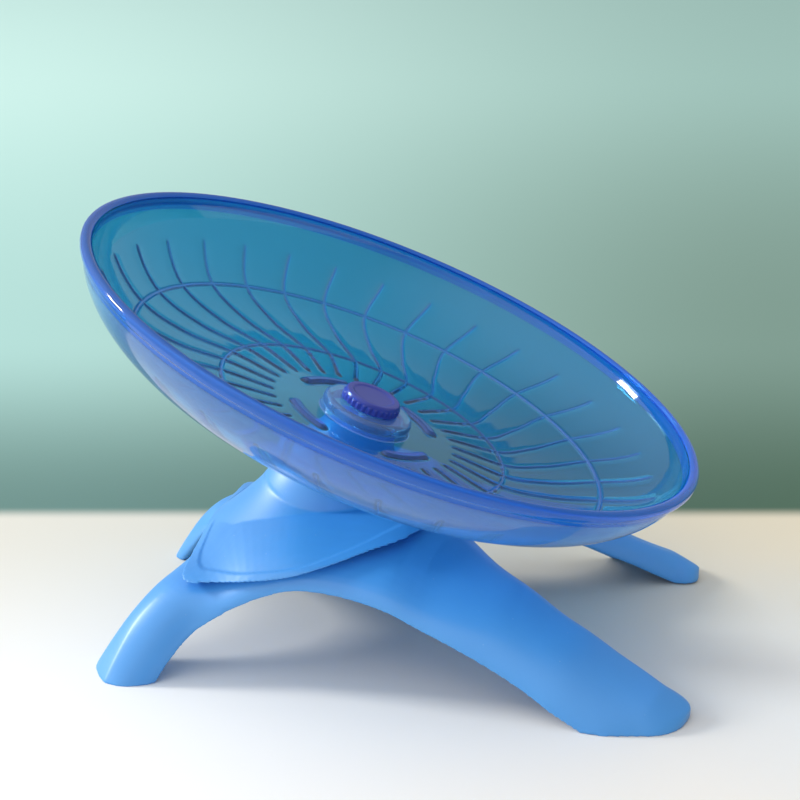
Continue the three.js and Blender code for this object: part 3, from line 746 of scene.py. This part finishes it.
# Ball bearing: 4 mm bore, 11 mm outside, 4 mm wide, in ground steel, pressed into the
# dish's cup. Two grooved rings hold seven balls in a nylon cage behind two thin shields.
bearing_bore = 2
bearing_radius = 5.5
bearing_width = 4
bearing_high = bearing_low + bearing_width
bearing_middle = bearing_low + bearing_width / 2
ball_circle = 3.75
groove = 0.9
land = 0.3
race_lip = 0.5
inner_land = ball_circle - groove + land
outer_land = ball_circle + groove - land
shield_seat = bearing_radius - race_lip
bearing_steel = metal("ground_steel", linear(200, 201, 206), 0.22, 1800)


def groove_line(side):
    """The round groove that the balls run in, on the outer ring or on the inner one."""
    edge = outer_land if side > 0 else inner_land
    half = math.acos(abs(edge - ball_circle) / groove)
    return [(ball_circle + side * groove * math.cos(a), bearing_middle + groove * math.sin(a))
            for a in np.linspace(-half, half, 13)]


step = 0.6
outer_ring = turned(rounded([
    (shield_seat, bearing_low), (bearing_radius, bearing_low, 0.2), (bearing_radius, bearing_high, 0.2),
    (shield_seat, bearing_high),
    (shield_seat, bearing_high - step), (outer_land, bearing_high - step), *groove_line(1)[::-1],
    (outer_land, bearing_low + step), (shield_seat, bearing_low + step)]), 96, head_place)
smooth_piece(outer_ring)
ship(outer_ring, "bearing_outer_race", "dish", "bearing_steel", bearing_steel, "bearing_outer_ring")
inner_ring = turned(rounded([
    (bearing_bore, bearing_low, 0.15), (inner_land, bearing_low, 0.1), *groove_line(-1),
    (inner_land, bearing_high, 0.1), (bearing_bore, bearing_high, 0.15)]), 96, head_place)
smooth_piece(inner_ring)
ship(inner_ring, "bearing_inner_race", "base", "bearing_steel", bearing_steel, "bearing_inner_ring")
shield_sink = 0.15
shield_sheet = 0.3
shield_bore = inner_land + 0.2
shield_edge = shield_seat - 0.1
for side, node in ((1, "bearing_shield_top"), (-1, "bearing_shield_bottom")):
    face = bearing_middle + side * (bearing_width / 2 - shield_sink)
    low, high = sorted((face, face - side * shield_sheet))
    shield = turned(rounded([
        (shield_bore, low), (shield_edge, low, 0.1), (shield_edge, high, 0.1),
        (shield_bore, high)]), 96, head_place)
    smooth_piece(shield)
    ship(shield, node + "_plate", "dish", "bearing_steel", bearing_steel, node)

for name, node in frame["nodes"].items():
    if name.startswith("bearing_ball"):
        node.data.materials.clear()
        node.data.materials.append(bearing_steel)
        for face in node.data.polygons:
            face.use_smooth = True
cage_nylon = opaque_plastic("cage_nylon", linear(228, 220, 192), linear(214, 205, 176), 0.5, 0.01)
cage_node = frame["nodes"]["bearing_cage"]
cage_node.data.materials.clear()
cage_node.data.materials.append(cage_nylon)


# Axle screw: a steel screw driven down the column, whose low head clamps the bearing's
# inner ring on the column's seat.
axle_radius = 1.88
axle_length = 18.5
axle_head = 3.4
axle_head_height = 1
head_floor = bearing_high + seat_gap
axle_tip = head_floor - axle_length
head_face = head_floor + axle_head_height
axle = turned(rounded([
    (0, axle_tip), (axle_radius / 2, axle_tip), (axle_radius, axle_tip + axle_radius, 0.3),
    (axle_radius, head_floor), (axle_head, head_floor, 0.15), (axle_head, head_face, 0.6),
    (0, head_face)]), 64, head_place)
cross_recess(axle, head_place @ Matrix.Translation((0, 0, head_face)), 0.8, axle_head)
smooth_piece(axle)
ship(axle, "axle_screw_turned", "base", "screw_steel", screw_steel, "axle_screw")


# Dish: clear blue plastic, one moulding 2 mm thick. Ridges swirl over the floor and up the
# wall, two ring ridges cross them, four arcs stand round the hub, and a bead stiffens the
# rim. The hub is a low boss with the bearing's cup on it.
rim_radius = 90
bead_proud = 1
dish_wall = 2
hub_wall = 2.4
hub_fillet = 0.8
cup_outer = 7
cup_lip = 1.3
cup_bore = bearing_radius + 0.1
rim_inside = rim_radius - bead_proud - dish_wall
floor_radius = 42
wall_power = 1.95
bead_height = 3
bead_round = 1.2
hub_radius = 13
ridge_count = 32
ridge_half = 0.82
ridge_height = 0.4
ridge_start = 27
ridge_end = 81.5
ridge_phase = math.radians(1.5)
ring_radii = (42, 69)
petal_radius = 21
petal_half = 2
petal_height = 1
petal_span = math.radians(36)
petal_phase = math.radians(47.4)
pitch = 2 * math.pi / ridge_count
ridge_path = [(0, -0.69, 0), (0.25, -0.82, 0), (0.5, -0.3, 0), (0.75, 0, 0), (1, -0.22, 0)]


def wall_point(angle, reach, depth):
    """A point on the dish's wall, from the floor (angle 0) to the rim."""
    across = max(math.sin(angle), 0) ** (2 / wall_power)
    down = max(math.cos(angle), 0) ** (2 / wall_power)
    return floor_radius + (reach - floor_radius) * across, -depth * down


def wall_angle(radius):
    return math.asin(((radius - floor_radius) / (rim_inside - floor_radius)) ** (wall_power / 2))


def swirl(radius):
    """How far a ridge has turned at this radius."""
    share = float(np.clip((radius - ridge_start) / (ridge_end - ridge_start), 0, 1))
    lengths = [p[0] for p in ridge_path]
    spot = np.interp(share, lengths, np.linspace(0, 1, len(lengths)))
    return along(ridge_path, spot)[1] * pitch


def swell(offset, half):
    """Height share of a rounded ridge at this distance from its crest."""
    near = np.clip(np.abs(offset) / (1.25 * half), 0, 1)
    return 0.5 + 0.5 * np.cos(math.pi * near)


def ease(value):
    """Goes softly from 0 to 1 as the value does."""
    value = np.clip(value, 0, 1)
    return value * value * (3 - 2 * value)


# Running surface from the hub to the rim, then the bead, the outer wall and the hub's inside.
# The rows lie closer together where a ring ridge, an arc or the ridges' ends stand up.
floor_radii = sorted({*np.linspace(14.1, 41, 44), *np.linspace(18.4, 23.6, 18), *np.linspace(41.1, 42, 4)})
close_radii = (*np.linspace(42.15, 43, 4), *np.linspace(68, 70, 11), 80.9, 81.3, 81.7, 82.1)
wall_angles = sorted({*np.linspace(0.02, 1.545, 62), *(wall_angle(radius) for radius in close_radii)})
running = [(radius, -dish_depth) for radius in floor_radii]
running += [wall_point(angle, rim_inside, dish_depth) for angle in wall_angles]
half_bead = (rim_radius - rim_inside) / 2
bead = []
for angle in np.linspace(0, math.pi, 15):
    bead.append((rim_inside + half_bead * (1 - math.cos(angle)), bead_round * (math.sin(angle) - 1)))
bead_foot = rim_radius - bead_proud / 2
bead += rounded([
    (rim_radius, -1.3), (rim_radius, bead_round - bead_height, 0.4), (bead_foot, -bead_height, 0.5),
    (bead_foot - bead_proud, -bead_height - 0.6, 0.5), (88.1, -4.8)])[1:]
outer_depth = dish_depth + dish_wall
outer = [wall_point(angle, rim_inside + dish_wall, outer_depth) for angle in np.linspace(1.50, 0.02, 56)]
outer = [p for p in outer if p[1] < -5.2]
hub_inside = hub_radius - hub_wall
under = rounded([(41, -outer_depth), (hub_inside, -outer_depth, 0.6), (hub_inside, bearing_low, 0.5),
                 (cup_bore, bearing_low, 0.15)])
cup_floor, cup_top = bearing_high + seat_gap, bearing_high + cup_lip
cup = rounded([
    (cup_bore, bearing_high - 0.5), (cup_bore, cup_floor), (4.5, cup_floor, 0.1), (4.5, cup_top, 0.2),
    (cup_outer, cup_top, 0.4), (cup_outer, hub_top, 0.4), (hub_radius, hub_top, 1.8),
    (hub_radius, -dish_depth, hub_fillet), (hub_radius + 1, -dish_depth)])[:-1]
rows = running + bead + outer + under + cup

# The columns follow the ridges, close together across each crest. Each point also says how
# deep its tint is, and whether it is clear, lies on the outer skin, whose pale front faces
# are painted light, or lies on the bead.
local = np.array([-1.25, -0.95, -0.65, -0.32, 0, 0.32, 0.65, 0.95, 1.25])
far_off = 9
clear_zone, painted_light_zone, bead_zone = 0, 1, 2
bead_start = len(running)
outer_start = bead_start + len(bead)
under_start = outer_start + len(outer)
cup_start = under_start + len(under)
points, depth_and_shade, zone = [], [], []
for index, (radius, height) in enumerate(rows):
    half_angle = ridge_half / max(radius, ridge_start)
    crest = local * half_angle
    gaps = crest[-1] + (pitch - 2 * crest[-1]) * np.array([0.25, 0.5, 0.75])
    columns = np.concatenate([crest, gaps])
    angles = (np.arange(ridge_count)[:, None] * pitch + columns[None, :]).ravel()
    offset = np.tile(np.concatenate([local, [far_off] * 3]), ridge_count) * ridge_half
    if index < outer_start:
        turned_by = swirl(radius)
    else:
        share = (index - outer_start) / (len(rows) - outer_start)
        turned_by = swirl(ridge_end) + (swirl(ridge_start) - swirl(ridge_end)) * share
    angles = angles + ridge_phase + turned_by
    lift, dark = np.zeros(len(angles)), np.zeros(len(angles))
    row_zone = np.full(len(angles), clear_zone)
    if index < bead_start:
        inside_ends = ease((radius - ridge_start + 0.6) / 1.2) * ease((ridge_end + 0.6 - radius) / 1.2)
        lift = ridge_height * swell(offset, ridge_half) * inside_ends
        for ring in ring_radii:
            lift = np.maximum(lift, ridge_height * swell(radius - ring, ridge_half))
        from_middle = (angles - petal_phase + math.pi / 4) % (math.pi / 2) - math.pi / 4
        past = np.maximum(np.abs(from_middle) - petal_span / 2, 0) * petal_radius
        across = np.hypot(past, radius - petal_radius)
        petal = ease((petal_half + 0.3 - across) / 1.6)
        lift = np.maximum(lift, petal_height * petal)
        # The arcs take the full deep tint. This is partly for their thickness and partly painted shade that
        # stands in for their shaded sides.
        dark = np.maximum(0.8 * np.minimum(lift / ridge_height, 1), petal)
        row_zone[np.maximum(petal, lift / ridge_height) > 0.5] = painted_light_zone
    elif index < outer_start:
        dark[:] = 0.8
        row_zone[:] = bead_zone
    # The outer wall and the hub boss take the skin, whose pale front faces are painted reflection and
    # painted light.
    elif index < under_start or index >= cup_start:
        row_zone[:] = painted_light_zone
    before, after = np.array(rows[index - 1]), np.array(rows[(index + 1) % len(rows)])
    slope = (after - before) / np.linalg.norm(after - before)
    reach = radius - lift * slope[1]
    level = height + lift * slope[0]
    points.append(np.column_stack([reach * np.cos(angles), reach * np.sin(angles), level]))
    depth_and_shade.append(dark)
    zone.append(row_zone)

dish = closed_solid(points, ends=False, place=head_place)
for attribute, values in (("thickness_and_shade", depth_and_shade), ("zone", zone)):
    kept = dish.data.attributes.new(attribute, "FLOAT", "POINT")
    kept.data.foreach_set("value", np.concatenate(values).astype(float))
dish.data.set_sharp_from_angle(angle=math.radians(60))
for face in dish.data.polygons:
    face.use_smooth = True


def clear_plastic(name, tint, thick_and_shaded_tint, front_face_colour, shade, roughness, clearness):
    """Tinted plastic, deeper in colour where it is thicker and where painted shade lies on it. Lamps shine
    through it.
    """
    material = bpy.data.materials.new(name)
    material.use_nodes = True
    nodes, links = material.node_tree.nodes, material.node_tree.links
    shader = nodes["Principled BSDF"]
    shader.inputs["IOR"].default_value = 1.5
    surface = nodes.new("ShaderNodeGroup")
    surface.node_tree = surface_group
    surface.inputs["Grain Size"].default_value = 120
    surface.inputs["Mottle Size"].default_value = 16
    depth = nodes.new("ShaderNodeAttribute")
    depth.attribute_name = "thickness_and_shade"
    tone = nodes.new("ShaderNodeMix")
    tone.data_type = "RGBA"
    tone.inputs[7].default_value = thick_and_shaded_tint
    links.new(depth.outputs["Fac"], tone.inputs[0])
    links.new(tone.outputs[2], shader.inputs["Base Color"])
    side = nodes.new("ShaderNodeNewGeometry")
    faced = nodes.new("ShaderNodeMix")
    faced.data_type = "RGBA"
    faced.inputs[6].default_value = front_face_colour
    faced.inputs[7].default_value = tint
    links.new(side.outputs["Backfacing"], faced.inputs[0])
    links.new(faced.outputs[2], tone.inputs[6])
    shader.inputs["Transmission Weight"].default_value = clearness
    gloss = nodes.new("ShaderNodeMapRange")
    gloss.inputs["To Min"].default_value = roughness
    gloss.inputs["To Max"].default_value = roughness + 0.05
    links.new(surface.outputs["Mottle"], gloss.inputs["Value"])
    links.new(gloss.outputs["Result"], shader.inputs["Roughness"])
    bump = nodes.new("ShaderNodeBump")
    bump.inputs["Strength"].default_value = 0.15
    bump.inputs["Distance"].default_value = 0.03 * MM
    links.new(surface.outputs["Height"], bump.inputs["Height"])
    links.new(bump.outputs["Normal"], shader.inputs["Normal"])
    lamp_path = nodes.new("ShaderNodeLightPath")
    film = nodes.new("ShaderNodeBsdfTransparent")
    film.inputs["Color"].default_value = shade
    through = nodes.new("ShaderNodeMixShader")
    links.new(lamp_path.outputs["Is Shadow Ray"], through.inputs["Fac"])
    links.new(shader.outputs["BSDF"], through.inputs[1])
    links.new(film.outputs["BSDF"], through.inputs[2])
    links.new(through.outputs["Shader"], nodes["Material Output"].inputs["Surface"])
    return material


dish_tint = linear(62, 174, 226)
thick_and_shaded_tint = linear(12, 104, 216)
lamp_tint = (0.86, 0.93, 1, 1)
polish = 0.03
dish_plastic = clear_plastic(
    "dish_plastic", dish_tint, thick_and_shaded_tint, dish_tint, lamp_tint, polish, 0.97)
# Painted light: the skin's pale periwinkle front faces and lower clearness stand in for the white table's
# reflection on the outer wall, and for the column seen lit through the hub boss.
skin_painted_light = clear_plastic(
    "dish_skin_painted_light", linear(46, 158, 200), thick_and_shaded_tint, linear(136, 186, 255), lamp_tint, polish, 0.76)
bead_plastic = clear_plastic(
    "dish_bead", dish_tint, thick_and_shaded_tint, linear(60, 150, 250), lamp_tint, polish, 0.5)
ship(dish, "dish_moulding", "dish", "dish_plastic", dish_plastic, "running_dish")
for finish in (skin_painted_light, bead_plastic):
    dish.data.materials.append(finish)
zones = np.array([point.value for point in dish.data.attributes["zone"].data])
for face in dish.data.polygons:
    face.material_index = int(zones[list(face.vertices)].min())


# Hub cap: a small dark blue cap with a sunk face and a finely ridged skirt, pressed over
# the bearing's cup, so that the axle screw is covered.
cap_wall = 0.8
cap_sheet = 1
cap_sink = 0.35
cap_face = 5.6
cap_face_edge = 6.1
cap_shoulder = 1
grip_count = 30
grip_height = 0.3
cap_inner = cup_outer + seat_gap
cap_outer = cap_inner + cap_wall
cap_low = hub_top + seat_gap
cap_inside = cup_top + seat_gap
cap_top = cap_inside + cap_sheet


def ridged(radius, height, angles):
    """The skirt's fine ridges, which fade out below the cap's rounded edge."""
    grip = ease((radius - cap_outer + 0.15) / 0.1) * ease((cap_top - cap_shoulder - height) / 0.3)
    return radius + grip_height * grip * (0.5 + 0.5 * np.cos(grip_count * angles))


cap = turned(rounded([
    (0, cap_top - cap_sink), (cap_face, cap_top - cap_sink, 0.3), (cap_face_edge, cap_top, 0.25),
    (cap_outer - 0.3, cap_top, 0.5), (cap_outer, cap_top - cap_shoulder, 0.2), (cap_outer, cap_top - 1.3),
    (cap_outer, cap_low + 0.9), (cap_outer, cap_low, 0.1), (cap_inner, cap_low), (cap_inner, cap_inside),
    (0, cap_inside)][::-1]), 360, head_place, ridged)
smooth_piece(cap)
cap_navy = linear(44, 56, 164)
cap_plastic = clear_plastic(
    "cap_plastic", cap_navy, cap_navy, linear(70, 84, 190), (0.2, 0.25, 0.6, 1), 0.22, 0.35)
ship(cap, "hub_cap_moulding", "dish", "cap_plastic", cap_plastic, "hub_cap")


low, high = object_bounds()
